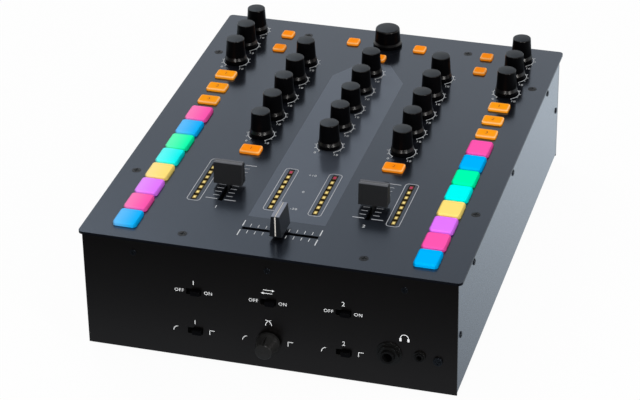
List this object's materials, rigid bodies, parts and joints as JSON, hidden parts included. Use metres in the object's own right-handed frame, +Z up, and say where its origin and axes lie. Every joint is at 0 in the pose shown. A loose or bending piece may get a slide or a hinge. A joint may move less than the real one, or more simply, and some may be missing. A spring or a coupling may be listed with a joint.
{
  "type": "dj mixer",
  "caption": "Two-channel performance mixer: flat metal panel with knobs, keys, coloured pads, level meters and faders on a folded case, sockets at front and rear.",
  "frame": {"origin": "on the desk below the middle of the top panel, bottom centre of the bounding box", "axes": "+X to the user's right, +Y away from the user to the socket side, +Z up"},
  "size_m": [0.254, 0.3486, 0.1092],
  "materials": {
    "panel_paint": "satin dark grey paint",
    "case_paint": "satin grey paint",
    "front_paint": "satin near-black paint",
    "plated_steel": "zinc plated",
    "foot_rubber": "matte",
    "black_screw": "black oxide",
    "circuit_board": "solder mask",
    "inner_plastic": "moulded",
    "meter_light": "clear light pipe",
    "socket_plastic": "moulded",
    "nickel": "nickel plated",
    "knob_plastic": "soft touch",
    "cap_plastic": "moulded",
    "lever_plastic": "moulded",
    "pad_rubber": "lit translucent rubber in several colours",
    "lit_key": "lit translucent orange"
  },
  "bodies": {
    "case": {"top_panel": "panel_paint", "base_tray": "case_paint", "front_panel": "front_paint", "rear_panel": "front_paint", "panel_rails": "plated_steel", "rubber_feet": "foot_rubber", "case_screws": "black_screw", "control_board": "circuit_board", "front_board": "circuit_board", "rotary_pots": "plated_steel", "fader_tracks": "plated_steel", "key_switches": "inner_plastic", "meter_light_pipes": "meter_light", "slide_switch_cans": "plated_steel", "jack_sockets": "socket_plastic", "jack_nuts": "nickel", "phono_sockets": "nickel", "usb_socket": "plated_steel", "power_inlet": "socket_plastic", "power_switch_housing": "socket_plastic"},
    "left_effect_knob_1": {"left_effect_knob_1": "knob_plastic"},
    "left_effect_knob_2": {"left_effect_knob_2": "knob_plastic"},
    "left_loop_knob": {"left_loop_knob": "knob_plastic"},
    "right_effect_knob_1": {"right_effect_knob_1": "knob_plastic"},
    "right_effect_knob_2": {"right_effect_knob_2": "knob_plastic"},
    "right_loop_knob": {"right_loop_knob": "knob_plastic"},
    "channel_1_gain_knob": {"channel_1_gain_knob": "knob_plastic"},
    "channel_1_high_knob": {"channel_1_high_knob": "knob_plastic"},
    "channel_1_mid_knob": {"channel_1_mid_knob": "knob_plastic"},
    "channel_1_low_knob": {"channel_1_low_knob": "knob_plastic"},
    "channel_1_filter_knob": {"channel_1_filter_knob": "knob_plastic"},
    "channel_2_gain_knob": {"channel_2_gain_knob": "knob_plastic"},
    "channel_2_high_knob": {"channel_2_high_knob": "knob_plastic"},
    "channel_2_mid_knob": {"channel_2_mid_knob": "knob_plastic"},
    "channel_2_low_knob": {"channel_2_low_knob": "knob_plastic"},
    "channel_2_filter_knob": {"channel_2_filter_knob": "knob_plastic"},
    "microphone_knob": {"microphone_knob": "knob_plastic"},
    "tone_knob": {"tone_knob": "knob_plastic"},
    "master_knob": {"master_knob": "knob_plastic"},
    "cue_mix_knob": {"cue_mix_knob": "knob_plastic"},
    "cue_level_knob": {"cue_level_knob": "knob_plastic"},
    "browse_knob": {"browse_knob": "knob_plastic"},
    "curve_knob": {"curve_knob": "knob_plastic"},
    "line_fader_1": {"line_fader_1": "cap_plastic"},
    "line_fader_2": {"line_fader_2": "cap_plastic"},
    "crossfader": {"crossfader": "cap_plastic"},
    "line_switch_1": {"line_switch_1": "lever_plastic"},
    "line_switch_2": {"line_switch_2": "lever_plastic"},
    "reverse_switch": {"reverse_switch": "lever_plastic"},
    "curve_switch_1": {"curve_switch_1": "lever_plastic"},
    "curve_switch_2": {"curve_switch_2": "lever_plastic"},
    "left_pads": {"left_pads": "pad_rubber"},
    "right_pads": {"right_pads": "pad_rubber"},
    "left_deck_keys": {"left_deck_keys": "lit_key"},
    "right_deck_keys": {"right_deck_keys": "lit_key"},
    "left_effect_keys": {"left_effect_keys": "lit_key"},
    "right_effect_keys": {"right_effect_keys": "lit_key"},
    "browse_keys": {"browse_keys": "lit_key"},
    "cue_keys": {"cue_keys": "lit_key"},
    "power_rocker": {"power_rocker": "lever_plastic"}
  },
  "joints": [
    {"name": "left_effect_knob_1_turn", "type": "hinge", "parent": "case", "child": "left_effect_knob_1", "pos_m": [-0.1, 0.1425, 0.0904], "axis": [0, 0, 1], "range_deg": [-150, 150]},
    {"name": "left_effect_knob_2_turn", "type": "hinge", "parent": "case", "child": "left_effect_knob_2", "pos_m": [-0.1, 0.11675, 0.0904], "axis": [0, 0, 1], "range_deg": [-150, 150]},
    {"name": "left_loop_knob_turn", "type": "hinge", "parent": "case", "child": "left_loop_knob", "pos_m": [-0.1, 0.091, 0.0904], "axis": [0, 0, 1], "range_deg": [-150, 150]},
    {"name": "right_effect_knob_1_turn", "type": "hinge", "parent": "case", "child": "right_effect_knob_1", "pos_m": [0.1, 0.1425, 0.0904], "axis": [0, 0, 1], "range_deg": [-150, 150]},
    {"name": "right_effect_knob_2_turn", "type": "hinge", "parent": "case", "child": "right_effect_knob_2", "pos_m": [0.1, 0.11675, 0.0904], "axis": [0, 0, 1], "range_deg": [-150, 150]},
    {"name": "right_loop_knob_turn", "type": "hinge", "parent": "case", "child": "right_loop_knob", "pos_m": [0.1, 0.091, 0.0904], "axis": [0, 0, 1], "range_deg": [-150, 150]},
    {"name": "channel_1_gain_knob_turn", "type": "hinge", "parent": "case", "child": "channel_1_gain_knob", "pos_m": [-0.05, 0.1013, 0.0904], "axis": [0, 0, 1], "range_deg": [-150, 150]},
    {"name": "channel_1_high_knob_turn", "type": "hinge", "parent": "case", "child": "channel_1_high_knob", "pos_m": [-0.05, 0.0735, 0.0904], "axis": [0, 0, 1], "range_deg": [-150, 150]},
    {"name": "channel_1_mid_knob_turn", "type": "hinge", "parent": "case", "child": "channel_1_mid_knob", "pos_m": [-0.05, 0.0457, 0.0904], "axis": [0, 0, 1], "range_deg": [-150, 150]},
    {"name": "channel_1_low_knob_turn", "type": "hinge", "parent": "case", "child": "channel_1_low_knob", "pos_m": [-0.05, 0.0179, 0.0904], "axis": [0, 0, 1], "range_deg": [-150, 150]},
    {"name": "channel_1_filter_knob_turn", "type": "hinge", "parent": "case", "child": "channel_1_filter_knob", "pos_m": [-0.05, -0.0099, 0.0904], "axis": [0, 0, 1], "range_deg": [-150, 150]},
    {"name": "channel_2_gain_knob_turn", "type": "hinge", "parent": "case", "child": "channel_2_gain_knob", "pos_m": [0.05, 0.1013, 0.0904], "axis": [0, 0, 1], "range_deg": [-150, 150]},
    {"name": "channel_2_high_knob_turn", "type": "hinge", "parent": "case", "child": "channel_2_high_knob", "pos_m": [0.05, 0.0735, 0.0904], "axis": [0, 0, 1], "range_deg": [-150, 150]},
    {"name": "channel_2_mid_knob_turn", "type": "hinge", "parent": "case", "child": "channel_2_mid_knob", "pos_m": [0.05, 0.0457, 0.0904], "axis": [0, 0, 1], "range_deg": [-150, 150]},
    {"name": "channel_2_low_knob_turn", "type": "hinge", "parent": "case", "child": "channel_2_low_knob", "pos_m": [0.05, 0.0179, 0.0904], "axis": [0, 0, 1], "range_deg": [-150, 150]},
    {"name": "channel_2_filter_knob_turn", "type": "hinge", "parent": "case", "child": "channel_2_filter_knob", "pos_m": [0.05, -0.0099, 0.0904], "axis": [0, 0, 1], "range_deg": [-150, 150]},
    {"name": "microphone_knob_turn", "type": "hinge", "parent": "case", "child": "microphone_knob", "pos_m": [0, 0.0962, 0.0904], "axis": [0, 0, 1], "range_deg": [-150, 150]},
    {"name": "tone_knob_turn", "type": "hinge", "parent": "case", "child": "tone_knob", "pos_m": [0, 0.0686, 0.0904], "axis": [0, 0, 1], "range_deg": [-150, 150]},
    {"name": "master_knob_turn", "type": "hinge", "parent": "case", "child": "master_knob", "pos_m": [0, 0.041, 0.0904], "axis": [0, 0, 1], "range_deg": [-150, 150]},
    {"name": "cue_mix_knob_turn", "type": "hinge", "parent": "case", "child": "cue_mix_knob", "pos_m": [0, 0.0134, 0.0904], "axis": [0, 0, 1], "range_deg": [-150, 150]},
    {"name": "cue_level_knob_turn", "type": "hinge", "parent": "case", "child": "cue_level_knob", "pos_m": [0, -0.0142, 0.0904], "axis": [0, 0, 1], "range_deg": [-150, 150]},
    {"name": "browse_knob_turn", "type": "hinge", "parent": "case", "child": "browse_knob", "pos_m": [0, 0.1435, 0.0904], "axis": [0, 0, 1], "continuous": true},
    {"name": "curve_knob_turn", "type": "hinge", "parent": "case", "child": "curve_knob", "pos_m": [0, -0.1615, 0.0255], "axis": [0, -1, 0], "range_deg": [-150, 150]},
    {"name": "line_fader_1_slide", "type": "slide", "parent": "case", "child": "line_fader_1", "axis": [0, 1, 0], "range_m": [-0.0185, 0.0265]},
    {"name": "line_fader_2_slide", "type": "slide", "parent": "case", "child": "line_fader_2", "axis": [0, 1, 0], "range_m": [-0.0154, 0.0296]},
    {"name": "crossfader_slide", "type": "slide", "parent": "case", "child": "crossfader", "axis": [1, 0, 0], "range_m": [-0.0225, 0.0225]},
    {"name": "line_switch_1_slide", "type": "slide", "parent": "case", "child": "line_switch_1", "axis": [1, 0, 0], "range_m": [-0.003, 0]},
    {"name": "reverse_switch_slide", "type": "slide", "parent": "case", "child": "reverse_switch", "axis": [1, 0, 0], "range_m": [-0.003, 0]},
    {"name": "line_switch_2_slide", "type": "slide", "parent": "case", "child": "line_switch_2", "axis": [1, 0, 0], "range_m": [-0.003, 0]},
    {"name": "curve_switch_1_slide", "type": "slide", "parent": "case", "child": "curve_switch_1", "axis": [1, 0, 0], "range_m": [-0.003, 0]},
    {"name": "curve_switch_2_slide", "type": "slide", "parent": "case", "child": "curve_switch_2", "axis": [1, 0, 0], "range_m": [-0.003, 0]},
    {"name": "left_deck_keys_slide", "type": "slide", "parent": "case", "child": "left_deck_keys", "axis": [0, 0, -1], "range_m": [0, 0.0008], "stiffness_N_per_m": 400},
    {"name": "right_deck_keys_slide", "type": "slide", "parent": "case", "child": "right_deck_keys", "axis": [0, 0, -1], "range_m": [0, 0.0008], "stiffness_N_per_m": 400},
    {"name": "left_effect_keys_slide", "type": "slide", "parent": "case", "child": "left_effect_keys", "axis": [0, 0, -1], "range_m": [0, 0.0008], "stiffness_N_per_m": 400},
    {"name": "right_effect_keys_slide", "type": "slide", "parent": "case", "child": "right_effect_keys", "axis": [0, 0, -1], "range_m": [0, 0.0008], "stiffness_N_per_m": 400},
    {"name": "browse_keys_slide", "type": "slide", "parent": "case", "child": "browse_keys", "axis": [0, 0, -1], "range_m": [0, 0.0008], "stiffness_N_per_m": 400},
    {"name": "cue_keys_slide", "type": "slide", "parent": "case", "child": "cue_keys", "axis": [0, 0, -1], "range_m": [0, 0.0008], "stiffness_N_per_m": 400},
    {"name": "left_pads_slide", "type": "slide", "parent": "case", "child": "left_pads", "axis": [0, 0, -1], "range_m": [0, 0.0012], "stiffness_N_per_m": 600},
    {"name": "right_pads_slide", "type": "slide", "parent": "case", "child": "right_pads", "axis": [0, 0, -1], "range_m": [0, 0.0012], "stiffness_N_per_m": 600},
    {"name": "power_rocker_turn", "type": "hinge", "parent": "case", "child": "power_rocker", "pos_m": [-0.105, 0.1613, 0.045], "axis": [1, 0, 0], "range_deg": [-16, 0]}
  ]
}
